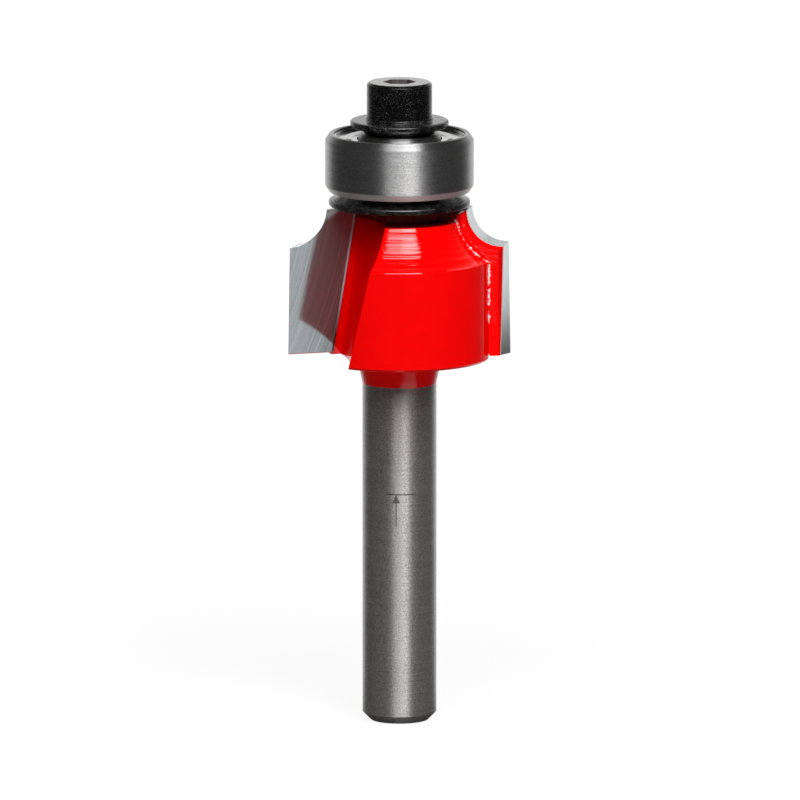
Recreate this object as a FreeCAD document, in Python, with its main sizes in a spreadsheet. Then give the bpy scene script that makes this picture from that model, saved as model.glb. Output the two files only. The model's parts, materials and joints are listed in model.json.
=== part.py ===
import FreeCAD, Part
import math
import os
import Sketcher
from FreeCAD import Placement, Rotation, Vector

# Round-over router bit with a guide bearing, in millimetres.
# The origin is the middle of the shank's end face, and +Z runs up the shank to the bearing and screw.
# Blade 1 lies at -X with its cutting face towards -Y, and blade 2 is the same blade turned half round.
doc = FreeCAD.newDocument("router_bit")
dims = doc.addObject("Spreadsheet::Sheet", "dims")

sizes = {
    # shank, neck and head
    "shankDiameter": 6.35,
    "shankLength": 31.75,
    "shankChamfer": 0.7,
    "neckDiameter": 7.4,
    "neckRise": 2.2,
    "lobeDrop": 0.25,
    "headHeight": 12.7,
    "lobeDiameter": 15.8,
    "lobeTopDiameter": 10.6,
    "lobeCoveRadius": 5,
    "lobeCoveRise": 3.48,
    "lobeEdgeChamfer": 0.2,
    "collarDiameter": 8,
    "collarHeight": 0.9,
    # cutting profile and the angles of the cutting face
    "cutterDiameter": 19.05,
    "coveRadius": 3.175,
    "edgeOffset": 0.43,
    "hookAngle": 17,
    "shearAngle": 7.74,
    "radialRelief": 24,
    "coveRelief": 4,
    "endRelief": 5.5,
    "wingBack": 2.1,
    "wingReach": 6.6,
    # brazed tips
    "tipThickness": 1.8,
    "tipFootWidth": 4.05,
    "tipTopWidth": 5.62,
    "brazeThickness": 0.1,
    # gullets
    "gulletDepth": 0.4,
    "gulletFootSet": 4.97,
    "gulletTopSet": 3.15,
    "gulletFootAngle": 17,
    "gulletTopAngle": 46.4,
    "gulletFootRadius": 20,
    "gulletTopRadius": 7,
    "gulletWallRun": 10,
    # pilot stud and its tapped hole
    "studGap": 0.02,
    "studShort": 0.28,
    "studChamfer": 0.25,
    "threadDiameter": 3,
    "threadGap": 0.02,
    "holeExtra": 1.2,
    # guide bearing
    "bearingDiameter": 12.7,
    "bearingBore": 4.7625,
    "bearingWidth": 4.978,
    "rimChamferSide": 0.35,
    "rimChamferRise": 0.55,
    "boreChamfer": 0.2,
    "ballDiameter": 2.381,
    "ballPitch": 8.73,
    "ballGap": 0.02,
    "innerShoulder": 0.815,
    "outerShoulder": 0.835,
    "faceOpening": 11.2,
    "shieldSeat": 0.55,
    "shieldThickness": 0.2,
    "shieldGap": 0.1,
    "shieldDish": 0.12,
    "shieldRim": 0.5,
    "wireHeight": 0.2,
    "wireWidth": 0.34,
    "wireGap": 0.02,
    "wireCut": 25,
    "grooveReach": 0.18,
    "cageWidth": 0.56,
    "cageThickness": 0.15,
    "cageGap": 0.03,
    # dished washer under the bearing
    "dishDiameter": 12.1,
    "dishHeight": 1.45,
    "dishRimLift": 0.2,
    "dishRimHeight": 0.56,
    "dishFoot": 6.3,
    "dishHub": 6.6,
    "dishChamfer": 0.12,
    # stepped washer over the bearing
    "capFlange": 8.44,
    "capFlangeHeight": 0.6,
    "capHub": 6,
    "capHubHeight": 0.57,
    "capTaper": 0.3,
    "capChamfer": 0.14,
    "capRing": 5.7,
    "capRingHeight": 0.27,
    "capBoreGap": 0.1,
    # cap screw
    "screwHead": 5.6,
    "screwHeadHeight": 3,
    "screwHeadChamfer": 0.22,
    "screwLength": 8,
    "screwTipChamfer": 0.35,
    "hexAcross": 2.5,
    "hexDepth": 1.5,
}
ballCount = 7

for row, (name, number) in enumerate(sizes.items(), start=1):
    dims.set(f"A{row}", name)
    dims.set(f"B{row}", str(number))
    dims.setAlias(f"B{row}", name)
doc.recompute()

# heights above the shank's end, from the seats that stack up
headFoot = "dims.shankLength"
headTop = "(dims.shankLength + dims.headHeight)"
bearingFoot = f"({headTop} + dims.dishHeight)"
bearingMiddle = f"({bearingFoot} + dims.bearingWidth / 2)"
bearingTop = f"({bearingFoot} + dims.bearingWidth)"
screwSeat = f"({bearingTop} + dims.capHubHeight + dims.capFlangeHeight + dims.capRingHeight)"
screwTip = f"({screwSeat} - dims.screwLength)"
halfTurn = 180
fullTurn = 360


def value(expression):
    """Number that an expression on the sheet gives."""
    return float(dims.evalExpression(expression))


def newBody(name, lift=None, turn=0):
    """Body labelled with its name, turned about Z and raised by an expression."""
    body = doc.addObject("PartDesign::Body", name)
    body.Label = name
    body.Placement = Placement(Vector(), Rotation(Vector(0, 0, 1), turn))
    if lift:
        body.setExpression("Placement.Base.z", lift)
    return body


def pin(sketch, edge, end, across, up):
    """Hold one end of an edge at a place given by two expressions."""
    for kind, axis, expression in (("DistanceX", -2, across), ("DistanceY", -1, up)):
        if expression == "0":
            sketch.addConstraint(Sketcher.Constraint("PointOnObject", edge, end, axis))
            continue
        held = sketch.addConstraint(Sketcher.Constraint(kind, -1, 1, edge, end, value(expression)))
        sketch.setExpression(f"Constraints[{held}]", expression)


def arcThrough(first, last, radius, side):
    """Arc from first to last, with its centre on the left (1) or the right (-1) of the way there."""
    chord = last.sub(first)
    across = Vector(-chord.y, chord.x, 0).normalize()
    rise = math.sqrt(radius ** 2 - (chord.Length / 2) ** 2)
    centre = (first + last) * 0.5 + across * rise * side
    ends = (first, last) if side > 0 else (last, first)
    angles = [math.atan2(point.y - centre.y, point.x - centre.x) for point in ends]
    return Part.ArcOfCircle(Part.Circle(centre, Vector(0, 0, 1), radius), *angles)


def outline(body, name, role, corners, offset=None):
    """Closed sketch on an origin plane, through corners given as expressions.

    A corner is (across, up), or (across, up, radius, side) where an arc runs on to the next one.
    """
    sketch = body.newObject("Sketcher::SketchObject", name)
    plane = next(feature for feature in body.Origin.OriginFeatures if feature.Role == role)
    sketch.AttachmentSupport = [(plane, "")]
    sketch.MapMode = "FlatFace"
    if offset:
        sketch.setExpression("AttachmentOffset", offset)
    points = [Vector(value(corner[0]), value(corner[1]), 0) for corner in corners]
    ends = []
    for index, corner in enumerate(corners):
        first = points[index]
        last = points[(index + 1) % len(points)]
        backwards = len(corner) > 2 and corner[3] < 0
        if len(corner) > 2:
            edge = sketch.addGeometry(arcThrough(first, last, value(corner[2]), corner[3]), False)
            held = sketch.addConstraint(Sketcher.Constraint("Radius", edge, value(corner[2])))
            sketch.setExpression(f"Constraints[{held}]", corner[2])
        else:
            edge = sketch.addGeometry(Part.LineSegment(first, last), False)
        ends.append((edge, 2, 1) if backwards else (edge, 1, 2))
    for index, (edge, start, stop) in enumerate(ends):
        following, begins, _ = ends[(index + 1) % len(ends)]
        sketch.addConstraint(Sketcher.Constraint("Coincident", edge, stop, following, begins))
        pin(sketch, edge, start, corners[index][0], corners[index][1])
    return sketch


def turned(body, corners, sweep=None):
    """Piece turned about Z from its half profile, given as (radius, height)."""
    sketch = outline(body, body.Name + "_profile", "XZ_Plane", corners)
    turning = body.newObject("PartDesign::Revolution", body.Name + "_turned")
    turning.Profile = sketch
    turning.ReferenceAxis = (sketch, ["V_Axis"])
    turning.Angle = fullTurn
    if sweep:
        turning.setExpression("Angle", sweep)
    sketch.Visibility = False
    return turning


def ruledLoft(body, sketches):
    """Solid with straight rulings between two sketches of the same corners."""
    loft = body.newObject("PartDesign::AdditiveLoft", body.Name + "_loft")
    loft.Profile = sketches[0]
    loft.Sections = sketches[1:]
    loft.Ruled = True
    return loft


def combine(kind, name, base, tool):
    """Part::Cut or Part::Common of two objects."""
    result = doc.addObject(kind, name)
    result.Base = base
    result.Tool = tool
    return result


def fuse(name, pieces):
    """Union of several objects."""
    result = doc.addObject("Part::MultiFuse", name)
    result.Shapes = pieces
    return result


# cutting face

# The cutting face is a flat plane. Its frame has its origin at the blade's lowest outer corner,
# x inwards along the hook and y up along the shear, and depths are measured behind the face.
cutterRadius = "(dims.cutterDiameter / 2)"
cornerSet = f"sqrt({cutterRadius}^2 - dims.edgeOffset^2)"
faceTop = "(dims.headHeight / cos(dims.shearAngle))"
faceShoulder = "((dims.headHeight - dims.coveRadius) / cos(dims.shearAngle))"
coveDrift = "(-tan(dims.coveRelief + dims.shearAngle))"
endDrift = "(tan(dims.endRelief - dims.shearAngle))"


def facePlacement(depth):
    """Frame of the cutting face, moved back by a depth, on the XZ plane of a body."""
    corner = f"vector(-{cornerSet}; {headFoot}; dims.edgeOffset)"
    tilt = "rotation(vector(0; 1; 0); dims.hookAngle) * rotation(vector(1; 0; 0); dims.shearAngle)"
    return f"placement({corner}; {tilt}) * placement(vector(0; 0; -({depth})); rotation(vector(0; 0; 1); 0))"


def inwardDrift(up):
    """How far a blade draws in for each millimetre behind its face, so that its rim keeps one relief angle."""
    turn = f"asin((dims.edgeOffset + {up} * sin(dims.shearAngle)) / {cutterRadius}) / 1deg"
    return f"tan(dims.hookAngle + dims.radialRelief - {turn})"


def acrossAtRadius(radius, up):
    """How far inwards the cutting face reaches a given radius from the bit's axis, at a height up it."""
    left = f"(-{cornerSet} + {up} * sin(dims.hookAngle) * sin(dims.shearAngle))"
    front = f"(-dims.edgeOffset - {up} * cos(dims.hookAngle) * sin(dims.shearAngle))"
    middle = f"({left} * cos(dims.hookAngle) + {front} * sin(dims.hookAngle))"
    return f"(-{middle} - sqrt({middle}^2 - {left}^2 - {front}^2 + {radius}^2))"


def innerEdge(foot, top, up):
    """Inner edge of a blade, which leans from its width at the foot to its width at the top."""
    return f"({foot} + ({top} - {foot}) * {up} / {faceTop})"


def bladeOutline(body, name, depth, foot, top):
    """Blade's outline at a depth behind the cutting face, drawn in by its relief."""
    low = f"({endDrift} * ({depth}))"
    high = f"({faceTop} + {coveDrift} * ({depth}))"
    shoulder = f"({faceShoulder} + {coveDrift} * ({depth}))"
    footSet = f"{inwardDrift('0')} * ({depth})"
    topSet = f"{inwardDrift(faceShoulder)} * ({depth})"
    coveEnd = acrossAtRadius(f"({cutterRadius} - dims.coveRadius)", faceTop)
    corners = [
        (footSet, low),
        (f"{acrossAtRadius(cutterRadius, faceShoulder)} + {topSet}", shoulder, "dims.coveRadius", 1),
        (f"{coveEnd} + {topSet}", high),
        (innerEdge(foot, top, high), high),
        (innerEdge(foot, top, low), low),
    ]
    return outline(body, name, "XZ_Plane", corners, facePlacement(depth))


def bladeSlab(name, turn, near, far, foot, top):
    """Relieved blade between two depths behind the cutting face."""
    body = newBody(name, turn=turn)
    front = bladeOutline(body, name + "_front", near, foot, top)
    back = bladeOutline(body, name + "_back", far, foot, top)
    ruledLoft(body, [front, back])
    return body


# cutter body

def turnedBlank():
    """Shank, neck, round head, collar and pilot stud in one piece, with the tapped hole."""
    body = newBody("turned_blank")
    shank = "dims.shankDiameter / 2"
    lobe = "dims.lobeDiameter / 2"
    stud = "(dims.bearingBore / 2 - dims.studGap)"
    studTop = f"({bearingTop} - dims.studShort)"
    hole = "(dims.threadDiameter / 2 + dims.threadGap)"
    holeFoot = f"({screwTip} - dims.holeExtra)"
    lobeFoot = f"({headFoot} - dims.lobeDrop)"
    lobeTop = f"({headTop} - dims.collarHeight)"
    turned(body, [
        ("0", "0"),
        (f"{shank} - dims.shankChamfer", "0"),
        (shank, "dims.shankChamfer"),
        (shank, f"{lobeFoot} - dims.neckRise"),
        ("dims.neckDiameter / 2", lobeFoot),
        (f"{lobe} - dims.lobeEdgeChamfer", lobeFoot),
        (lobe, f"{lobeFoot} + dims.lobeEdgeChamfer"),
        (lobe, f"{lobeTop} - dims.lobeCoveRise", "dims.lobeCoveRadius", -1),
        ("dims.lobeTopDiameter / 2", lobeTop),
        ("dims.collarDiameter / 2", lobeTop),
        ("dims.collarDiameter / 2", headTop),
        (stud, headTop),
        (stud, f"{studTop} - dims.studChamfer"),
        (f"{stud} - dims.studChamfer", studTop),
        (hole, studTop),
        (hole, holeFoot),
        ("0", f"{holeFoot} - {hole} / 2"),
    ])
    return body


def wing(turn, number):
    """Steel that backs a tip: a relieved slab cut off flat behind."""
    name = f"wing_{number}"
    through = f"((dims.wingBack + dims.edgeOffset) * 2 + dims.headHeight * sin(dims.shearAngle))"
    body = bladeSlab(name, turn, "0", through, "dims.wingReach", "dims.wingReach")
    clear = "dims.headHeight"
    behind = outline(body, name + "_behind", "XY_Plane", [
        (f"-{clear} * 2", "dims.wingBack"),
        (clear, "dims.wingBack"),
        (clear, f"dims.wingBack + {clear}"),
        (f"-{clear} * 2", f"dims.wingBack + {clear}"),
    ], f"placement(vector(0; 0; {headTop} + {clear}); rotation(vector(0; 0; 1); 0))")
    trim = body.newObject("PartDesign::Pocket", name + "_trim")
    trim.Profile = behind
    trim.setExpression("Length", f"dims.headHeight + {clear} * 2")
    return body


def tipSeat(turn, number):
    """Room for a tip and its braze, open outwards and into the gullet in front."""
    name = f"tip_seat_{number}"
    body = newBody(name, turn=turn)
    low = "(-dims.headHeight)"
    high = f"({faceTop} + dims.headHeight)"
    out = "(-dims.headHeight)"
    back = outline(body, name + "_floor", "XZ_Plane", [
        (out, low),
        (out, high),
        (innerEdge("dims.tipFootWidth", "dims.tipTopWidth", high), high),
        (innerEdge("dims.tipFootWidth", "dims.tipTopWidth", low), low),
    ], facePlacement("dims.tipThickness + dims.brazeThickness"))
    pad = body.newObject("PartDesign::Pad", name + "_room")
    pad.Profile = back
    pad.setExpression("Length", "dims.tipThickness + dims.brazeThickness + dims.gulletDepth")
    return body


def gulletSection(body, name, up, radius):
    """Gullet's section at a height up the head: flat floor, crease and hollow wall."""
    share = f"({up} / dims.headHeight)"
    crease = f"(-(dims.gulletFootSet + (dims.gulletTopSet - dims.gulletFootSet) * {share}))"
    lean = f"(dims.gulletFootAngle + (dims.gulletTopAngle - dims.gulletFootAngle) * {share})"
    run = f"({lean} - dims.gulletWallRun / {radius} * 180 / pi)"
    behind = "dims.gulletDepth / (cos(dims.hookAngle) * cos(dims.shearAngle))"
    slant = f"tan(dims.shearAngle) / cos(dims.hookAngle) * {up}"
    floor = f"(-dims.edgeOffset + {behind} - {slant} + tan(dims.hookAngle) * {cornerSet})"
    outside = "(-dims.cutterDiameter)"
    creaseDepth = f"({floor} + tan(dims.hookAngle) * {crease})"
    wallEnd = f"({crease} + {radius} * (cos({run}) - cos({lean})))"
    wallDepth = f"({creaseDepth} + {radius} * (sin({run}) - sin({lean})))"
    return outline(body, name, "XY_Plane", [
        (crease, creaseDepth),
        (outside, f"{floor} + tan(dims.hookAngle) * {outside}"),
        (outside, wallDepth),
        (wallEnd, wallDepth, radius, 1),
    ], f"placement(vector(0; 0; {headFoot} + {up}); rotation(vector(0; 0; 1); 0))")


def gullet(turn, number):
    """Chip gullet in front of a blade, which narrows and turns as it climbs."""
    name = f"gullet_{number}"
    body = newBody(name, turn=turn)
    foot = gulletSection(body, name + "_foot", "(-dims.lobeDrop * 2)", "dims.gulletFootRadius")
    top = gulletSection(body, name + "_top", "(dims.headHeight + dims.lobeDrop)", "dims.gulletTopRadius")
    ruledLoft(body, [foot, top])
    return body


sides = ((1, 0), (2, halfTurn))
solid = fuse("head_blank", [turnedBlank()] + [wing(turn, number) for number, turn in sides])
cuts = fuse("milled_away", [form(turn, number) for form in (gullet, tipSeat) for number, turn in sides])
nodes = {"cutter_body": combine("Part::Cut", "cutter_body", solid, cuts)}

# brazed tips

for number, turn in sides:
    widths = ("dims.tipFootWidth", "dims.tipTopWidth")
    tipBack = "dims.tipThickness"
    brazeBack = "dims.tipThickness + dims.brazeThickness"
    nodes[f"carbide_tip_{number}"] = bladeSlab(f"carbide_tip_{number}", turn, "0", tipBack, *widths)
    nodes[f"braze_seam_{number}"] = bladeSlab(f"braze_seam_{number}", turn, tipBack, brazeBack, *widths)


# guide bearing

# A ring's land stands a shoulder's depth inside or outside the circle of the ball centres.
halfWidth = "dims.bearingWidth / 2"
raceRadius = "(dims.ballDiameter / 2 + dims.ballGap)"
innerLand = "(dims.ballPitch / 2 - dims.innerShoulder)"
outerLand = "(dims.ballPitch / 2 + dims.outerShoulder)"


def raceReach(shoulder):
    """Half the height of a ball groove where it breaks through the land of a ring."""
    return f"sqrt({raceRadius}^2 - {shoulder}^2)"


def outerRing():
    """Outer ring with a ball groove, a shield seat and a wire groove at each end."""
    body = newBody("bearing_outer_ring", bearingMiddle)
    rim = "dims.bearingDiameter / 2"
    opening = "dims.faceOpening / 2"
    groove = f"{opening} + dims.grooveReach"
    seat = f"({halfWidth} - dims.shieldSeat)"
    grooveFoot = f"({seat} + dims.shieldThickness)"
    grooveTop = f"({grooveFoot} + dims.wireHeight + dims.wireGap * 2)"
    reach = raceReach("dims.outerShoulder")
    upper = [
        (rim, f"{halfWidth} - dims.rimChamferRise"),
        (f"{rim} - dims.rimChamferSide", halfWidth),
        (opening, halfWidth),
        (opening, grooveTop),
        (groove, grooveTop),
        (groove, grooveFoot),
        (opening, grooveFoot),
        (opening, seat),
        (outerLand, seat),
    ]
    lower = [(across, f"-({up})") for across, up in reversed(upper)]
    turned(body, upper + [(outerLand, reach, raceRadius, -1), (outerLand, f"-{reach}")] + lower)
    return body


def innerRing():
    """Inner ring with a ball groove, clamped between the two washers."""
    body = newBody("bearing_inner_ring", bearingMiddle)
    bore = "dims.bearingBore / 2"
    reach = raceReach("dims.innerShoulder")
    upper = [
        (innerLand, f"{halfWidth} - dims.boreChamfer"),
        (f"{innerLand} - dims.boreChamfer", halfWidth),
        (f"{bore} + dims.boreChamfer", halfWidth),
        (bore, f"{halfWidth} - dims.boreChamfer"),
    ]
    lower = [(across, f"-({up})") for across, up in reversed(upper)]
    turned(body, upper + lower + [(innerLand, f"-{reach}", raceRadius, -1), (innerLand, reach)])
    return body


def shield(name, side):
    """Thin pressed plate that closes one end of the bearing, dished at its inner edge."""
    body = newBody(name, bearingMiddle)
    inner = f"{innerLand} + dims.shieldGap"
    outer = "dims.faceOpening / 2 - dims.wireGap"
    seat = f"({halfWidth} - dims.shieldSeat)"
    face = f"({seat} + dims.shieldThickness)"
    corners = [
        (inner, f"{seat} - dims.shieldDish"),
        (f"{inner} + dims.shieldRim", f"{seat} - dims.shieldDish"),
        (f"{inner} + dims.shieldRim * 2", seat),
        (outer, seat),
        (outer, face),
        (f"{inner} + dims.shieldRim * 2", face),
        (f"{inner} + dims.shieldRim", f"{face} - dims.shieldDish"),
        (inner, f"{face} - dims.shieldDish"),
    ]
    turned(body, [(across, f"{side} * ({up})") for across, up in corners])
    return body


def snapWire(name, side):
    """Split wire ring that holds a shield in its seat."""
    body = newBody(name, bearingMiddle)
    outer = "(dims.faceOpening / 2 + dims.grooveReach - dims.wireGap)"
    foot = f"({halfWidth} - dims.shieldSeat + dims.shieldThickness + dims.wireGap)"
    corners = [
        (f"{outer} - dims.wireWidth", foot),
        (outer, foot),
        (outer, f"{foot} + dims.wireHeight"),
        (f"{outer} - dims.wireWidth", f"{foot} + dims.wireHeight"),
    ]
    turned(body, [(across, f"{side} * ({up})") for across, up in corners], "360 - dims.wireCut")
    return body


def standAtBall(thing, index, radius):
    """Place an object on one ball's spoke, at a radius from the bit's axis and half way up the bearing."""
    turn = index * fullTurn / ballCount
    thing.setExpression("Placement.Base.x", f"{radius} * cos({turn})")
    thing.setExpression("Placement.Base.y", f"{radius} * sin({turn})")
    thing.setExpression("Placement.Base.z", bearingMiddle)


def ball(name, index):
    """Bearing ball in its place round the bearing."""
    sphere = doc.addObject("Part::Sphere", name)
    sphere.setExpression("Radius", "dims.ballDiameter / 2")
    standAtBall(sphere, index, "dims.ballPitch / 2")
    return sphere


def spoke(name, radius, index):
    """Cylinder that lies across the cage along one ball's spoke."""
    drum = doc.addObject("Part::Cylinder", name)
    drum.Placement = Placement(Vector(), Rotation(Vector(0, 0, 1), index * fullTurn / ballCount)
                               * Rotation(Vector(0, 1, 0), 90))
    drum.setExpression("Radius", radius)
    drum.setExpression("Height", "dims.cageWidth * 2")
    standAtBall(drum, index, "(dims.ballPitch / 2 - dims.cageWidth)")
    return drum


def cylinder(name, radius, foot, height):
    """Cylinder about the bit's axis."""
    drum = doc.addObject("Part::Cylinder", name)
    drum.setExpression("Radius", radius)
    drum.setExpression("Height", height)
    drum.setExpression("Placement.Base.z", foot)
    return drum


def cageHalf(name, side):
    """Pressed ribbon cage: a flat ring with a hollow rib over each ball."""
    pocket = "(dims.ballDiameter / 2 + dims.cageGap)"
    rib = f"({pocket} + dims.cageThickness)"
    ribbonFoot = bearingMiddle if side > 0 else f"{bearingMiddle} - dims.cageThickness"
    bandFoot = bearingMiddle if side > 0 else f"{bearingMiddle} - {rib}"
    inner = "(dims.ballPitch - dims.cageWidth) / 2"
    outer = "(dims.ballPitch + dims.cageWidth) / 2"
    ribbon = cylinder(name + "_ribbon", outer, ribbonFoot, "dims.cageThickness")
    ribs = [spoke(f"{name}_rib_{index}", rib, index) for index in range(ballCount)]
    pockets = [spoke(f"{name}_pocket_{index}", pocket, index) for index in range(ballCount)]
    band = combine("Part::Cut", name + "_band", cylinder(name + "_outside", outer, bandFoot, rib),
                   cylinder(name + "_inside", inner, bandFoot, rib))
    pressed = combine("Part::Common", name + "_pressed", fuse(name + "_form", [ribbon] + ribs), band)
    return combine("Part::Cut", name, pressed, fuse(name + "_pockets", pockets))


nodes["bearing_outer_ring"] = outerRing()
nodes["bearing_inner_ring"] = innerRing()
for name, side in (("upper", 1), ("lower", -1)):
    nodes[f"bearing_shield_{name}"] = shield(f"bearing_shield_{name}", side)
    nodes[f"snap_wire_{name}"] = snapWire(f"snap_wire_{name}", side)
    nodes[f"cage_{name}"] = cageHalf(f"cage_{name}", side)
for index in range(ballCount):
    nodes[f"ball_{index + 1}"] = ball(f"ball_{index + 1}", index)


# washers and screw

def dishedWasher():
    """Washer that lifts the inner ring off the head and covers the gap under the bearing."""
    body = newBody("shield_washer", headTop)
    bore = "dims.bearingBore / 2 + dims.studGap"
    rim = "dims.dishDiameter / 2"
    rimTop = "dims.dishRimLift + dims.dishRimHeight"
    turned(body, [
        (bore, "0"),
        ("dims.dishFoot / 2", "0"),
        (f"{rim} - dims.dishChamfer", "dims.dishRimLift"),
        (rim, "dims.dishRimLift + dims.dishChamfer"),
        (rim, f"{rimTop} - dims.dishChamfer"),
        (f"{rim} - dims.dishChamfer", rimTop),
        ("dims.dishHub / 2", "dims.dishHeight"),
        (bore, "dims.dishHeight"),
    ])
    return body


def steppedWasher():
    """Flanged washer under the screw head, with a hub that bears on the inner ring."""
    body = newBody("retaining_washer", bearingTop)
    bore = "dims.threadDiameter / 2 + dims.capBoreGap"
    hub = "dims.capHub / 2"
    flange = "dims.capFlange / 2"
    flangeTop = "(dims.capHubHeight + dims.capFlangeHeight)"
    turned(body, [
        (bore, "0"),
        (hub, "0"),
        (f"{hub} + dims.capTaper", "dims.capHubHeight"),
        (f"{flange} - dims.capChamfer", "dims.capHubHeight"),
        (flange, "dims.capHubHeight + dims.capChamfer"),
        (flange, f"{flangeTop} - dims.capChamfer"),
        (f"{flange} - dims.capChamfer", flangeTop),
        ("dims.capRing / 2", flangeTop),
        ("dims.capRing / 2", f"{flangeTop} + dims.capRingHeight"),
        (bore, f"{flangeTop} + dims.capRingHeight"),
    ])
    return body


def capScrew():
    """Socket head cap screw that clamps the stack to the pilot stud."""
    body = newBody("cap_screw", screwSeat)
    thread = "dims.threadDiameter / 2"
    head = "dims.screwHead / 2"
    turned(body, [
        ("0", "-dims.screwLength"),
        (f"{thread} - dims.screwTipChamfer", "-dims.screwLength"),
        (thread, "-dims.screwLength + dims.screwTipChamfer"),
        (thread, "0"),
        (head, "0"),
        (head, "dims.screwHeadHeight - dims.screwHeadChamfer"),
        (f"{head} - dims.screwHeadChamfer", "dims.screwHeadHeight"),
        ("0", "dims.screwHeadHeight"),
    ])
    corner = "dims.hexAcross / sqrt(3)"
    hexagon = [(f"{corner} * cos({turn})", f"{corner} * sin({turn})") for turn in range(0, fullTurn, 60)]
    socket = outline(body, "cap_screw_hexagon", "XY_Plane", hexagon,
                     "placement(vector(0; 0; dims.screwHeadHeight); rotation(vector(0; 0; 1); 0))")
    pocket = body.newObject("PartDesign::Pocket", "cap_screw_socket")
    pocket.Profile = socket
    pocket.setExpression("Length", "dims.hexDepth")
    return body


nodes["shield_washer"] = dishedWasher()
nodes["retaining_washer"] = steppedWasher()
nodes["cap_screw"] = capScrew()

doc.recompute()
for thing in doc.Objects:
    if "Invalid" in thing.State or "Error" in thing.State:
        raise RuntimeError(f"{thing.Name} did not build: {thing.State}")
for name, node in nodes.items():
    if node.Shape.isNull() or not node.Shape.isValid() or len(node.Shape.Solids) != 1:
        raise RuntimeError(f"{name} is not one valid solid")

os.makedirs("parts", exist_ok=True)
for name, node in nodes.items():
    node.Label = name
    node.Shape.exportStep(f"parts/{name}.step")
    box = node.Shape.BoundBox
    print(f"{name:22s} volume {node.Shape.Volume:9.3f}  z {box.ZMin:7.3f} to {box.ZMax:7.3f}")
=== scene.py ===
import json
import math

import bpy
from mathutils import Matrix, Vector

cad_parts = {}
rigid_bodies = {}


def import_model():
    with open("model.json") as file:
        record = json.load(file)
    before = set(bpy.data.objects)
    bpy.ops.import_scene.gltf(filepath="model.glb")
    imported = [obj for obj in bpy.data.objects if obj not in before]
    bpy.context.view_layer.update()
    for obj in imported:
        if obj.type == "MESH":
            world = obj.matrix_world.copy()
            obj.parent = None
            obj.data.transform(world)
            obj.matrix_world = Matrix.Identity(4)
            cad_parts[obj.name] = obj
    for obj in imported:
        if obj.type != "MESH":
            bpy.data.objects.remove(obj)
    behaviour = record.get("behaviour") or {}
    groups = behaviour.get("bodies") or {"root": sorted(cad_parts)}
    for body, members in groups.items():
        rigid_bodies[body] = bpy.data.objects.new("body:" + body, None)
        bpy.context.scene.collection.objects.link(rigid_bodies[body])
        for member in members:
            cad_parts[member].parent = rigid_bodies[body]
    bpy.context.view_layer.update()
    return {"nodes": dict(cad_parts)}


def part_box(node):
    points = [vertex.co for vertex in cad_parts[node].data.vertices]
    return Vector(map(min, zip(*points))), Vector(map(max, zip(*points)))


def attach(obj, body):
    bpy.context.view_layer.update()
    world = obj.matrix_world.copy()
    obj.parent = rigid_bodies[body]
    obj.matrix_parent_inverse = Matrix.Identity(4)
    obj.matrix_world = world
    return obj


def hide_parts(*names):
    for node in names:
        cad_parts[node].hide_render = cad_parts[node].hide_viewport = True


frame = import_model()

mm = 0.001


def heightOf(node, corner):            # a CAD piece's lowest (0) or highest (1) point, in mm
    return round(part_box(node)[corner][2] / mm, 3)


# shader maths: a socket that can be added, multiplied and so on
class Signal:
    def __init__(self, nodes, socket):
        self.nodes = nodes
        self.socket = socket

    def __add__(self, other):
        return self.nodes.maths("ADD", self, other)

    def __radd__(self, other):
        return self.nodes.maths("ADD", self, other)

    def __sub__(self, other):
        return self.nodes.maths("SUBTRACT", self, other)

    def __rsub__(self, other):
        return self.nodes.maths("SUBTRACT", other, self)

    def __mul__(self, other):
        return self.nodes.maths("MULTIPLY", self, other)

    def __rmul__(self, other):
        return self.nodes.maths("MULTIPLY", self, other)

    def __truediv__(self, other):
        return self.nodes.maths("DIVIDE", self, other)

    def __rtruediv__(self, other):
        return self.nodes.maths("DIVIDE", other, self)

    def __pow__(self, other):
        return self.nodes.maths("POWER", self, other)

    def __abs__(self):
        return self.nodes.maths("ABSOLUTE", self)

    def atLeast(self, other):             # the larger of the two
        return self.nodes.maths("MAXIMUM", self, other)

    def below(self, edge, soft):          # 1 where the signal is under an edge, 0 above it
        return self.nodes.ramp(self, edge + soft, edge - soft)

    def above(self, edge, soft):
        return self.nodes.ramp(self, edge - soft, edge + soft)

    def between(self, low, high, soft):
        return self.above(low, soft) * self.below(high, soft)


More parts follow.
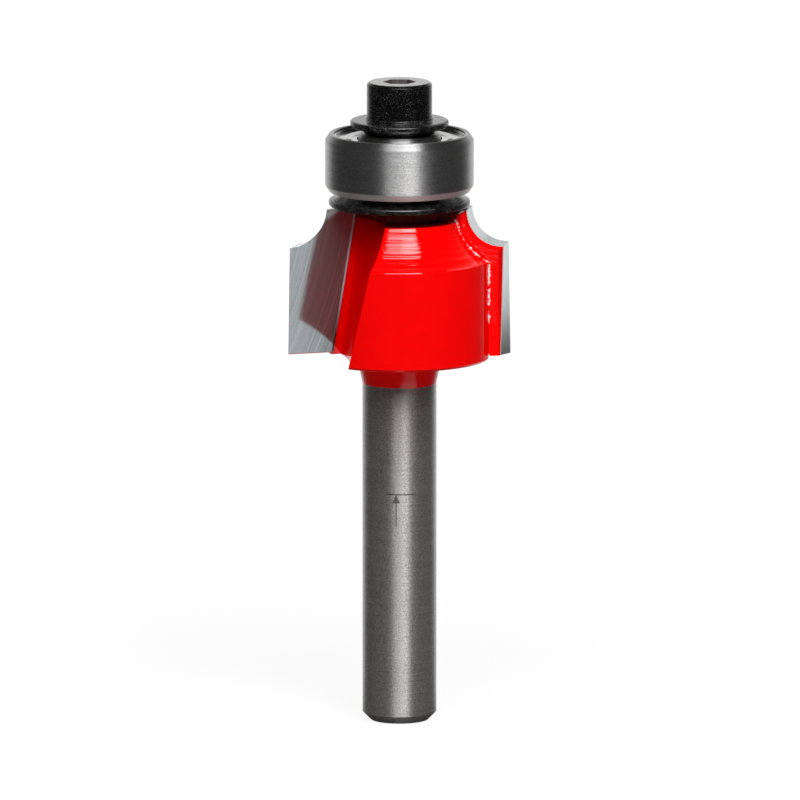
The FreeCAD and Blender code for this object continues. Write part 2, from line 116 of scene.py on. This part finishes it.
# a node tree and what it shows on its surface
class Wiring:
    def __init__(self, tree, ending):
        self.tree = tree
        tree.nodes.clear()
        self.ending = tree.nodes.new(ending)

    def node(self, kind, settings=None, inputs=None, output=0):
        made = self.tree.nodes.new(kind)
        for name, setting in (settings or {}).items():
            setattr(made, name, setting)
        pairs = inputs.items() if isinstance(inputs, dict) else enumerate(inputs or [])
        for name, given in pairs:
            self.join(made.inputs[name], given)
        return Signal(self, made.outputs[output])

    def join(self, socket, given):
        if isinstance(given, Signal):
            self.tree.links.new(given.socket, socket)
        elif socket.type == "RGBA":
            socket.default_value = (*given, 1)
        else:
            socket.default_value = given

    def show(self, shader):
        self.join(self.ending.inputs["Surface"], shader)

    def maths(self, operation, *terms):
        return self.node("ShaderNodeMath", {"operation": operation}, terms)

    def along(self, vector, axis):         # X, Y or Z of a vector
        return self.node("ShaderNodeSeparateXYZ", None, [vector], axis)

    def ramp(self, signal, low, high):     # 0 at low, 1 at high, also where low is the larger
        return self.node("ShaderNodeMapRange", {"clamp": True},
                         {"Value": signal, "From Min": low, "From Max": high})

    def mix(self, mask, first, second):    # sockets 6 and 7 take the two colours, and output 2 is their mix
        return self.node("ShaderNodeMix", {"data_type": "RGBA"}, {0: mask, 6: first, 7: second}, 2)

    def greys(self, signal, stops):        # a grey for each place from 0 to 1
        made = self.node("ShaderNodeValToRGB", None, [signal])
        elements = made.socket.node.color_ramp.elements
        while len(elements) < len(stops):
            elements.new(0.5)
        for element, (place, grey) in zip(elements, stops):
            element.position = place
            element.color = (grey, grey, grey, 1)
        return made

    def isRay(self, kind):                 # 1 for Camera, Diffuse or Glossy rays
        return self.node("ShaderNodeLightPath", output=f"Is {kind} Ray")


# one material: a Principled shader and the nodes that feed it, with places in millimetres
class Finish(Wiring):
    def __init__(self, name, **constants):
        self.material = bpy.data.materials.new(name)
        self.material.use_nodes = True
        super().__init__(self.material.node_tree, "ShaderNodeOutputMaterial")
        shader = self.node("ShaderNodeBsdfPrincipled")
        self.inputs = shader.socket.node.inputs
        self.show(shader)
        for socket, number in constants.items():
            self.feed(socket.replace("_", " "), number)
        place = self.node("ShaderNodeTexCoord", output="Object")
        self.place = self.node("ShaderNodeVectorMath", {"operation": "SCALE"},
                               {"Vector": place, "Scale": 1 / mm})
        self.x, self.y, self.z = (self.along(self.place, axis) for axis in "XYZ")

    def feed(self, socket, given):
        self.join(self.inputs[socket], given)

    def noise(self, scale, detail=2.0, roughness=0.5, stretch=(1, 1, 1)):
        place = self.node("ShaderNodeMapping", None, {"Vector": self.place, "Scale": stretch})
        return self.node("ShaderNodeTexNoise", None,
                         {"Vector": place, "Scale": scale, "Detail": detail, "Roughness": roughness})

    def lines(self, distance, scale, detail, roughness):
        return self.node("ShaderNodeTexNoise", {"noise_dimensions": "1D"},
                         {"W": distance, "Scale": scale, "Detail": detail, "Roughness": roughness})

    def bump(self, height, strength, distance):
        normal = self.node("ShaderNodeBump", None,
                           {"Height": height, "Strength": strength, "Distance": distance * mm})
        self.feed("Normal", normal)

    def radius(self):                      # distance from the bit's axis
        return (self.x * self.x + self.y * self.y) ** 0.5

    def facing(self, axis):                # how far the surface looks along X, Y or Z, from -1 to 1
        return self.along(self.node("ShaderNodeTexCoord", output="Normal"), axis)


def shade(colour, factor):
    return tuple(part * factor for part in colour)


print("making the finishes")

# the shank's ground steel and the depth mark on its front

shankLook = {
    "steel": (0.42, 0.408, 0.402),
    "grainDark": 0.62,            # shares of that colour in the grain and under a faint cloud
    "grainLight": 1.45,
    "cloudShade": 0.7,
    "rough": 0.46,
    "bareMetal": 0.80,            # the rest scatters, as fine grinding dust and oxide do
    "markInk": (0.03, 0.028, 0.027),
    "markBar": 20.08,             # heights and places in mm
    "markLeft": -1.10,
    "markRight": 1.25,
    "markFoot": 17.34,
    "markStem": -0.29,
    "markHalfBar": 0.06,
    "markHalfStem": 0.05,
    "arrowLength": 0.75,
    "arrowSpread": 0.45,          # half width for each mm below the bar
}


def depthMark(coat, grain):            # a bar with an arrow under it, burnt into the front of the shank
    look = shankLook
    barHeight, halfBar = look["markBar"], look["markHalfBar"]
    stemPlace, halfStem = look["markStem"], look["markHalfStem"]
    bar = (coat.z.between(barHeight - halfBar, barHeight + halfBar, 0.03)
           * coat.x.between(look["markLeft"], look["markRight"], 0.04))
    stem = (coat.x.between(stemPlace - halfStem, stemPlace + halfStem, 0.03)
            * coat.z.between(look["markFoot"], barHeight, 0.04))
    drop = barHeight - coat.z
    arrow = ((abs(coat.x - stemPlace) - drop * look["arrowSpread"]).below(0.0, 0.03)
             * drop.between(0.0, look["arrowLength"], 0.04))
    front = coat.y.below(0.0, 0.1)
    return (bar + stem + arrow).above(0.5, 0.3) * front * (0.65 + grain * 0.5)


def groundSteel(coat, rings, grain, mark):
    look = shankLook
    tone = coat.ramp(rings * 0.2 + grain * 0.8, 0.39, 0.61)
    steel = coat.mix(tone, shade(look["steel"], look["grainDark"]), shade(look["steel"], look["grainLight"]))
    cloud = coat.ramp(coat.noise(0.45, 2.0), 0.4, 0.75)
    steel = coat.mix(cloud * 0.25, steel, shade(look["steel"], look["cloudShade"]))
    return coat.mix(mark * 0.8, steel, look["markInk"])


# the gloss paint on the head and the neck

headLook = {
    "red": (0.87, 0.0, 0.0),
    "deepRed": (0.62, 0.0, 0.0),
    "underWasherShade": 0.04,            # what the painted shade under the washer leaves of the red
    "paintedGlint": (0.9, 0.88, 0.86),
    "gloss": 0.06,
    "paintLine": 29.3,            # height at which the paint ends on the neck
    "coveFoot": 40.07,            # where the round head starts to draw in
    "coveMiddle": (10.2, 44.51),  # middle of the hollow, radius and height
    "coveRadius": 5.0,
    "rim": 43.5,                  # height of the round head's rim, and the radius of the recess above it
    "recessRadius": 5.35,
    "wingBack": 2.1,              # a wing's back, from the plane through the axis
    "unshadedReach": 0.15,           # no painted shade lies within this of the skin
    "flankReach": 0.35,           # farther out than this is a wing
    "jointReach": 0.6,            # within this of the skin and of a wing's back is their joint
    "turningFrom": 0.45,          # turning marks start this far over the hollow's foot
    "turningTo": 0.2,             # and end this far under the rim
    "shadeUnderRim": 0.1,                # painted shade starts this far under the rim
    "gulletPaintedShade": 0.6,
    "recessPaintedShade": 0.88,
    "paintedGlintFoot": 35.0,            # pale flecks painted where a wing meets the round head, as painted glints on the bead of paint
    "paintedGlintWander": 0.68,
    "paintedGlintWidth": 0.06,
    "paintedGlintSwell": 0.55,
    "turningDepth": 13.0,         # heights in the bump
    "beadDepth": 12.0,
    "shoulderFall": 10.0,
    "flankFall": 110.0,
}


def offSkin(coat):                     # distance out from the round head's skin, hollow included
    middle, height = headLook["coveMiddle"]
    rise = coat.z.atLeast(headLook["coveFoot"]) - height
    skin = middle - (headLook["coveRadius"] ** 2 - rise * rise) ** 0.5
    return coat.radius() - skin


def glossPaint(coat, off, flank):      # red, with painted shade in the gullets and in the recess under the washer
    look = headLook
    deep = coat.ramp(coat.noise(0.6, 3.0), 0.35, 0.7) * 0.2
    red = coat.mix(deep, look["red"], look["deepRed"])
    onSkin = abs(off).below(look["unshadedReach"], 0.05) * coat.z.below(look["rim"], 0.03)
    # the gullets' tops and the recess under the washer are painted darker: painted shade under the washer
    gullet = coat.z.above(look["rim"] - look["shadeUnderRim"], 0.9) * (1.0 - onSkin) * (1.0 - flank)
    recess = coat.z.above(look["rim"], 0.03) * coat.radius().below(look["recessRadius"], 0.05)
    paintedShade = (gullet * look["gulletPaintedShade"]).atLeast(recess * look["recessPaintedShade"])
    return coat.mix(paintedShade, red, shade(look["red"], look["underWasherShade"]))


# pale flecks along the joint of a wing and the round head: painted glints on the bead of paint
def paintGlints(coat, off, side, bead):
    look = headLook
    across = off + side + look["wingBack"]         # out from the joint, on the head or on the wing
    wander = (coat.noise(2.4, 4.0, 0.75) - 0.5) * look["paintedGlintWander"]
    swell = (coat.noise(3.1, 3.0, 0.8) - 0.5) * look["paintedGlintSwell"]
    line = (abs(across + wander) - swell).below(look["paintedGlintWidth"], 0.02)
    return bead * line * coat.noise(1.5, 2.0, 0.6).above(0.44, 0.03)


def paintRelief(coat, off, side, flank, hollow, bead):
    look = headLook
    turned = coat.noise(1.0, 2.0, 0.6, stretch=(0.07, 0.07, 5.0))
    peel = coat.noise(1.6, 2.0)
    lumps = coat.noise(3.4, 3.0, 0.7)
    shoulder = coat.z.above(look["coveFoot"], 0.07) * abs(off).below(0.3, 0.1)
    # thick paint rounds the shoulder and the wings' flanks
    return (turned * (0.08 + hollow * look["turningDepth"]) + peel * 0.4 + bead * lumps * look["beadDepth"]
            - shoulder * look["shoulderFall"] + flank * (side + look["wingBack"]) * look["flankFall"])


def paintedSteel():
    look = headLook
    coat = Finish("redPaintAndSteel", Anisotropic=0.95, Anisotropic_Rotation=0.25)
    wobble = coat.noise(0.9, 3.0) - 0.5
    painted = (coat.z + wobble * 0.25).above(look["paintLine"], 0.05)
    bare = 1.0 - painted
    # fine rings round the shank under a sandy grain
    rings = coat.noise(1.0, 4.0, 0.6, stretch=(0.25, 0.25, 9.0))
    grain = coat.noise(8.5, 3.0, 0.8)
    mark = depthMark(coat, grain)
    steel = groundSteel(coat, rings, grain, mark)
    # places on the head
    off = offSkin(coat)
    side = coat.y * coat.x / abs(coat.x)           # behind a wing this is the same for both wings
    flank = off.above(look["flankReach"], 0.1)
    nearSkin = abs(off).below(look["jointReach"], 0.05)
    nearBack = abs(side + look["wingBack"]).below(look["jointReach"], 0.05)
    bead = nearSkin * nearBack * coat.z.between(look["paintedGlintFoot"], look["rim"], 0.3)
    hollow = coat.z.between(look["coveFoot"] + look["turningFrom"], look["rim"] - look["turningTo"], 0.15)
    # painted glints along each wing's joint with the head
    paintedGlint = paintGlints(coat, off, side, bead)
    colour = coat.mix(painted, steel, glossPaint(coat, off, flank))
    coat.feed("Base Color", coat.mix(paintedGlint, colour, look["paintedGlint"]))
    coat.feed("Metallic", bare * shankLook["bareMetal"])
    steelRough = shankLook["rough"] + (grain - 0.5) * 0.14 + mark * 0.2
    paintRough = look["gloss"] - hollow * 0.04
    coat.feed("Roughness", painted * paintRough + paintedGlint * 0.3 + bare * steelRough)
    relief = painted * paintRelief(coat, off, side, flank, hollow, bead)
    coat.bump(relief + bare * (rings * 0.15 + grain * 1.0 - mark * 0.5), 0.5, 0.012)
    return coat.material


# the carbide tips, ground by a wheel that leaves arcs

carbideLook = {
    "dark": (0.24, 0.27, 0.28),
    "light": (0.48, 0.515, 0.525),
    "scratch": (0.62, 0.62, 0.62),
    "flank": (0.72, 0.74, 0.74),
    "flankFoot": (0.05, 0.05, 0.05),
    "stain": (0.16, 0.10, 0.105),
    # the braze line's painted shade below and painted highlight above
    "shadedBraze": (0.015, 0.014, 0.014),
    "highlitBraze": (0.36, 0.43, 0.46),
    "footPaint": (0.55, 0.0, 0.0),
    "metal": 0.84,
    "rough": 0.05,
    "edgeFoot": -5.642,            # inner edge of the tip at its foot, x in mm for blade 1
    "edgeLean": 0.158,
    "edgeReflectionWidth": 3.2,             # width of the painted dark reflection beside the inner edge
    "brazeInset": 0.06,            # middle of the line of braze, from the inner edge
    "brazeHalfWidth": 0.11,
    "paintTo": 0.07,               # heights above the tip's foot
    "darkFlankTo": 2.4,
    "brazeShadeTo": 3.6,
    "stainFrom": 12.2,
    "wheelMiddle": (-55.0, 51.8),  # middle of the wheel's arcs, x and z in mm for blade 1
}


def groundCarbide(blade):
    look = carbideLook
    coat = Finish(f"groundCarbide{blade}")
    own = coat.x * (1 if blade == 1 else -1)       # x as on blade 1
    wheelX, wheelZ = look["wheelMiddle"]
    dx = own - wheelX
    dz = coat.z - wheelZ
    reach = (dx * dx + dz * dz) ** 0.5
    fine = coat.lines(reach, 7.0, 5.0, 0.8)
    broad = coat.lines(reach, 1.4, 2.0, 0.5)
    deep = coat.lines(reach, 3.1, 1.0, 0.5).above(0.72, 0.05)
    grain = coat.noise(9.0, 2.0, 0.7)
    tone = coat.ramp(fine * 0.6 + broad * 0.15 + grain * 0.25, 0.32, 0.68)
    metal = coat.mix(tone, look["dark"], look["light"])
    metal = coat.mix(deep * 0.5, metal, look["scratch"])
    # the metal is painted darker towards the inner edge, as a painted reflection of the gullet
    climb = coat.z - heightOf("carbide_tip_1", 0)
    inward = own - (climb * look["edgeLean"] + look["edgeFoot"])     # up to 0 at the inner edge
    metal = coat.mix(coat.ramp(inward, -look["edgeReflectionWidth"], 0.0) * 0.5, metal, shade(look["dark"], 0.5))
    # the flanks are paler and darken towards the foot, and the faces are stained at the top
    flank = abs(coat.facing("X")).above(0.65, 0.1)
    metal = coat.mix(flank * 0.5, metal, look["flank"])
    metal = coat.mix(flank * climb.below(look["darkFlankTo"], 2.0) * 0.85, metal, look["flankFoot"])
    metal = coat.mix(climb.above(look["stainFrom"], 0.5) * (1.0 - flank) * 0.7, metal, look["stain"])
    # a line of braze along the inner edge, with a painted highlight above and painted shade below, and paint
    # under the foot
    seam = abs(inward + look["brazeInset"]).below(look["brazeHalfWidth"], 0.03)
    seamTone = coat.mix(climb.above(look["brazeShadeTo"], 2.0), look["shadedBraze"], look["highlitBraze"])
    paint = climb.below(look["paintTo"], 0.03)
    coat.feed("Base Color", coat.mix(paint, coat.mix(seam, metal, seamTone), look["footPaint"]))
    coat.feed("Metallic", look["metal"] * (1.0 - seam * 0.8) * (1.0 - paint))
    coat.feed("Roughness", look["rough"] + fine * 0.05 + grain * 0.03)
    coat.bump(fine * 0.8 + deep * 0.5 + grain * 0.2, 0.3, 0.004)
    return coat.material


# the bearing's rings

ringLook = {
    "dark": (0.22, 0.22, 0.225),
    "light": (0.53, 0.525, 0.52),
    "chamferRise": 0.559,          # in mm
    "upperChamfer": (0.12, 0.12, 0.12),
    "lowerReflectionDark": (0.38, 0.35, 0.345),    # the lower chamfer is painted paler and warmer, as a painted reflection of the red head below it
    "lowerReflectionLight": (0.62, 0.58, 0.57),
    "metal": 0.95,
    "rough": 0.43,
}


def satinRing():
    look = ringLook
    coat = Finish("satinBearingSteel", Anisotropic=0.95, Anisotropic_Rotation=0.25)
    rings = coat.noise(1.0, 4.0, 0.6, stretch=(0.2, 0.2, 8.0))
    grain = coat.noise(8.0, 3.0, 0.8)
    tone = coat.ramp(rings * 0.25 + grain * 0.75, 0.34, 0.66)
    lower = coat.z.below(heightOf("bearing_outer_ring", 0) + look["chamferRise"], 0.06)
    upper = coat.z.above(heightOf("bearing_outer_ring", 1) - look["chamferRise"], 0.06)
    rim = coat.mix(tone, look["dark"], look["light"])
    rim = coat.mix(upper * 0.35, rim, look["upperChamfer"])
    # the lower chamfer is painted paler and warmer: a painted reflection of the red head
    coat.feed("Base Color", coat.mix(lower, rim, coat.mix(tone, look["lowerReflectionDark"], look["lowerReflectionLight"])))
    coat.feed("Metallic", look["metal"] - lower * 0.4)
    coat.feed("Roughness", look["rough"] + (grain - 0.5) * 0.16)
    coat.bump(rings * 0.3 + grain * 0.9, 0.5, 0.012)
    return coat.material


# black oxide on the screw and the washers

oxideLook = {
    "black": (0.002, 0.002, 0.0021),
    "wornAndGlint": (0.34, 0.335, 0.33),
    "rough": 0.13,
    "washerWornAndGlint": 0.61,            # specks are worn bare, and painted pale as glints, where the fine noise is above this
    "screwWornAndGlint": 0.64,
    "socket": (0.12, 0.115, 0.11),
    "socketRadius": 1.43,          # in mm, as the depths below the screw's top are
    "socketDepth": 1.618,
    "litTopDepth": 0.618,
    "litTopGrey": (0.30, 0.295, 0.285),
}


def screwTop(coat, black, speck):      # thin grey in the key socket, and paler grey painted on the upward face round it, as painted light from above
    look = oxideLook
    top = heightOf("cap_screw", 1)
    inSocket = coat.radius().below(look["socketRadius"], 0.03) * coat.z.above(top - look["socketDepth"], 0.1)
    colour = coat.mix(inSocket * (0.25 + speck * 0.9), black, look["socket"])
    # the upward face is painted paler: painted light from the lamp above
    onTop = coat.facing("Z").above(0.9, 0.08) * coat.z.above(top - look["litTopDepth"], 0.1)
    return coat.mix(onTop * speck.above(0.45, 0.25), colour, look["litTopGrey"])


def blackOxide(name, wornAndGlint, topFinish=None):
    look = oxideLook
    coat = Finish(name, Metallic=0.0, IOR=1.45)
    speck = coat.noise(13.0, 3.0, 0.8)
    wear = coat.noise(1.3, 3.0)
    # pale specks: bare wear, which also stands in as painted glints
    tone = speck.above(wornAndGlint, 0.05) * coat.ramp(wear, 0.3, 0.65)
    colour = coat.mix(tone * 0.7, look["black"], look["wornAndGlint"])
    if topFinish:
        colour = topFinish(coat, colour, speck)
    coat.feed("Base Color", colour)
    coat.feed("Roughness", look["rough"] + wear * 0.08 + tone * 0.3)
    coat.bump(speck * 0.4 + tone * 0.4 + wear * 0.4, 1.0, 0.014)
    return coat.material


# the small metal parts: two shades of the metal, its roughness and how metallic it is

smallLook = {
    "brazeMetal": ((0.52, 0.66, 0.64), (0.74, 0.88, 0.85), 0.25, 0.3),
    "pressedShieldSteel": ((0.34, 0.335, 0.33), (0.52, 0.51, 0.50), 0.13, 1.0),
    "springWire": ((0.30, 0.30, 0.30), (0.55, 0.55, 0.55), 0.18, 1.0),
    "cageSteel": ((0.40, 0.39, 0.37), (0.55, 0.54, 0.50), 0.3, 1.0),
    "ballSteel": ((0.60, 0.60, 0.61), (0.70, 0.70, 0.71), 0.06, 1.0),
}


def plainMetal(name, dark, light, rough, metallic):
    coat = Finish(name, Metallic=metallic)
    grain = coat.noise(6.0, 3.0, 0.6)
    turned = coat.lines(coat.radius(), 6.0, 3.0, 0.6)
    coat.feed("Base Color", coat.mix(coat.ramp(grain * 0.5 + turned * 0.5, 0.3, 0.7), dark, light))
    coat.feed("Roughness", rough + (grain - 0.5) * 0.1)
    coat.bump(grain * 0.6 + turned * 0.4, 0.25, 0.006)
    return coat.material


headPaint = paintedSteel()
carbide = {blade: groundCarbide(blade) for blade in (1, 2)}
ringSteel = satinRing()
washerOxide = blackOxide("washerBlackOxide", oxideLook["washerWornAndGlint"])
screwOxide = blackOxide("screwBlackOxide", oxideLook["screwWornAndGlint"], screwTop)
smallMetal = {name: plainMetal(name, *look) for name, look in smallLook.items()}


# pieces: each one takes the place of a CAD node, with its edges broken by so many millimetres

softPieces = {
    "paintedHeadAndShank": {"node": "cutter_body", "slot": "red_paint_steel", "edge": 0.18, "segments": 4,
                            "material": headPaint},
    "leftCarbideTip": {"node": "carbide_tip_1", "slot": "ground_carbide", "edge": 0.05, "segments": 2,
                       "material": carbide[1]},
    "rightCarbideTip": {"node": "carbide_tip_2", "slot": "ground_carbide", "edge": 0.05, "segments": 2,
                        "material": carbide[2]},
    "dishedWasher": {"node": "shield_washer", "slot": "black_oxide", "edge": 0.08, "segments": 3,
                     "material": washerOxide},
    "flangedWasher": {"node": "retaining_washer", "slot": "black_oxide", "edge": 0.12, "segments": 3,
                      "material": washerOxide},
    "capScrew": {"node": "cap_screw", "slot": "black_oxide", "edge": 0.10, "segments": 3,
                 "material": screwOxide},
    "bearingRim": {"node": "bearing_outer_ring", "slot": "ground_bearing_steel", "edge": 0.05, "segments": 2,
                   "material": ringSteel, "body": "guide_ring"},
}

edgeWork = {
    "sharp": math.radians(28),           # an edge that turns by more than this is broken, the rest is smooth
    "flat": math.radians(0.6),           # triangles that turn by less than this become one face
    "merge": 0.002 * mm,
}


def deselectAll():
    if bpy.context.mode != "OBJECT":
        bpy.ops.object.mode_set(mode="OBJECT")
    bpy.ops.object.select_all(action="DESELECT")


def dress(piece, material):
    piece.data.materials.clear()
    piece.data.materials.append(material)


def softCopy(name, node, edge, segments, material):
    # a copy of a CAD piece with its triangles merged and its edges broken
    deselectAll()
    original = frame["nodes"][node]
    original.select_set(True)
    bpy.context.view_layer.objects.active = original
    bpy.ops.object.duplicate()
    piece = bpy.context.view_layer.objects.active
    piece.name = name
    piece.data.name = name
    bpy.ops.object.parent_clear(type="CLEAR_KEEP_TRANSFORM")
    bpy.ops.object.mode_set(mode="EDIT")
    bpy.ops.mesh.select_all(action="SELECT")
    bpy.ops.mesh.customdata_custom_splitnormals_clear()
    bpy.ops.mesh.remove_doubles(threshold=edgeWork["merge"])
    bpy.ops.mesh.dissolve_limited(angle_limit=edgeWork["flat"])
    bpy.ops.object.mode_set(mode="OBJECT")
    bpy.ops.object.shade_smooth_by_angle(angle=edgeWork["sharp"])
    bevel = piece.modifiers.new("brokenEdges", "BEVEL")
    bevel.width = edge * mm
    bevel.segments = segments
    bevel.limit_method = "ANGLE"
    bevel.angle_limit = edgeWork["sharp"]
    bevel.harden_normals = True
    bpy.ops.object.modifier_apply(modifier=bevel.name)
    dress(piece, material)
    return piece


print("dressing the pieces")
for name, about in softPieces.items():
    piece = softCopy(name, about["node"], about["edge"], about["segments"], about["material"])
    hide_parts(about["node"])
    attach(piece, about.get("body", "arbor"))
    print("  ", name, len(piece.data.polygons), "faces")

# the other CAD nodes keep their shape and get a better finish
nodeFinish = {
    "braze_seam": smallMetal["brazeMetal"],
    "bearing_inner_ring": ringSteel,
    "bearing_shield": smallMetal["pressedShieldSteel"],
    "snap_wire": smallMetal["springWire"],
    "cage": smallMetal["cageSteel"],
    "ball": smallMetal["ballSteel"],
}
for start, material in nodeFinish.items():
    for node, original in frame["nodes"].items():
        if node.startswith(start):
            for slot in original.material_slots:
                slot.material = material


# studio floor: white to the camera, dark in front and bright behind in reflections

floorLook = {
    "size": 2.4,
    "place": (0, 0, -0.01 * mm),
    "bounce": 0.43,               # what the floor gives back to the object
    "matt": (0.01, 0.1),          # its own grey for other rays, and for the camera, which sees shadows on it
    "glow": (0.9, 1.0),           # white that the camera sees, near the object and far from it
    "glowReach": (0.03, 0.2),
    # brightness round the object in reflections, from in front (0) to behind it (1)
    "reflected": [(0.0, 0.03), (0.55, 0.03), (0.74, 0.07), (0.84, 0.3), (0.92, 1.0)],
    # a bright patch of floor that the left cutting face looks down at
    "patchPlace": (38 * mm, -68 * mm, 0),
    "patchEdge": (40.25 * mm, 26.25 * mm),    # where the patch ends, and where it is at its full glow
    "patchGlow": 0.9,
}


def makeFloor():
    look = floorLook
    deselectAll()
    bpy.ops.mesh.primitive_plane_add(size=look["size"], location=look["place"])
    floor = bpy.context.object
    floor.name = "studioFloor"
    material = bpy.data.materials.new("paleFloor")
    material.use_nodes = True
    nodes = Wiring(material.node_tree, "ShaderNodeOutputMaterial")
    camera = nodes.isRay("Camera")
    unseen, seen = look["matt"]
    grey = (nodes.isRay("Diffuse") * look["bounce"]).atLeast(unseen + camera * (seen - unseen))
    place = nodes.node("ShaderNodeTexCoord", output="Object")
    reach = nodes.node("ShaderNodeVectorMath", {"operation": "LENGTH"}, [place], "Value")
    turn = nodes.ramp(nodes.along(place, "Y") / reach, -1, 1)
    fromPatch = nodes.node("ShaderNodeVectorMath", {"operation": "DISTANCE"},
                           [place, look["patchPlace"]], "Value")
    patch = nodes.ramp(fromPatch, *look["patchEdge"]) * look["patchGlow"]
    reflected = nodes.greys(turn, look["reflected"]).atLeast(patch) * nodes.isRay("Glossy")
    near, far = look["glow"]
    white = near + nodes.ramp(reach, *look["glowReach"]) * (far - near)
    strength = reflected * (1.0 - camera) + white * camera
    matt = nodes.node("ShaderNodeBsdfDiffuse", None, {"Color": grey})
    glow = nodes.node("ShaderNodeEmission", None, {"Strength": strength})
    nodes.show(nodes.node("ShaderNodeAddShader", None, [matt, glow]))
    dress(floor, material)


# the room in reflections, from in front (0) to behind the object (1)

roomLook = [(0.0, 0.03), (0.55, 0.03), (0.74, 0.06), (0.84, 0.25), (0.92, 1.0)]


def makeWorld():
    world = bpy.data.worlds.new("studioWorld")
    bpy.context.scene.world = world
    world.use_nodes = True
    nodes = Wiring(world.node_tree, "ShaderNodeOutputWorld")
    direction = nodes.node("ShaderNodeTexCoord", output="Generated")
    turn = nodes.ramp(nodes.along(direction, "Y"), -1, 1)
    room = nodes.node("ShaderNodeBackground", None, {"Color": nodes.greys(turn, roomLook)})
    white = nodes.node("ShaderNodeBackground", None, {"Color": (1, 1, 1)})
    nodes.show(nodes.node("ShaderNodeMixShader", None, [nodes.isRay("Camera"), room, white]))


lampLook = {
    "target": (0, 0, 40 * mm),
    "distance": 0.46,
    "turn": 6.0,                  # degrees to the right of the front
    "rise": 47.0,
    "height": 0.32,
    "boxes": {
        "brightBox": {"across": 0.09, "width": 0.18, "power": 2.1},
        "dimBox": {"across": -0.09, "width": 0.18, "power": 1.2},
    },
}


def makeLamp(name, across, width, power):
    look = lampLook
    turn, rise = math.radians(look["turn"]), math.radians(look["rise"])
    out = Vector((math.sin(turn) * math.cos(rise), -math.cos(turn) * math.cos(rise), math.sin(rise)))
    sideways = Vector((math.cos(turn), math.sin(turn), 0))
    data = bpy.data.lights.new(name, "AREA")
    data.shape = "RECTANGLE"
    data.size = width
    data.size_y = look["height"]
    data.energy = power
    lamp = bpy.data.objects.new(name, data)
    bpy.context.collection.objects.link(lamp)
    lamp.visible_camera = False
    lamp.location = Vector(look["target"]) + out * look["distance"] + sideways * across
    lamp.rotation_euler = (-out).to_track_quat("-Z", "Y").to_euler()


cameraLook = {
    "distance": 1.5,
    "rise": 10.1,                 # degrees above the horizon
    "aimHeight": 27.74 * mm,
    "lens": 789,
    "shift": 0.0007,
    "clip": (0.05, 10),
}


def makeCamera():
    look = cameraLook
    rise = math.radians(look["rise"])
    aim = Vector((0, 0, look["aimHeight"]))
    back = Vector((0, -math.cos(rise), math.sin(rise)))
    data = bpy.data.cameras.new("photoCamera")
    data.lens = look["lens"]
    data.shift_x = look["shift"]
    data.clip_start, data.clip_end = look["clip"]
    camera = bpy.data.objects.new("photoCamera", data)
    bpy.context.collection.objects.link(camera)
    camera.location = aim + back * look["distance"]
    camera.rotation_euler = (-back).to_track_quat("-Z", "Y").to_euler()
    bpy.context.scene.camera = camera


print("setting up the studio")
makeFloor()
makeWorld()
for name, box in lampLook["boxes"].items():
    makeLamp(name, **box)
makeCamera()
bpy.context.scene.view_settings.view_transform = "Standard"
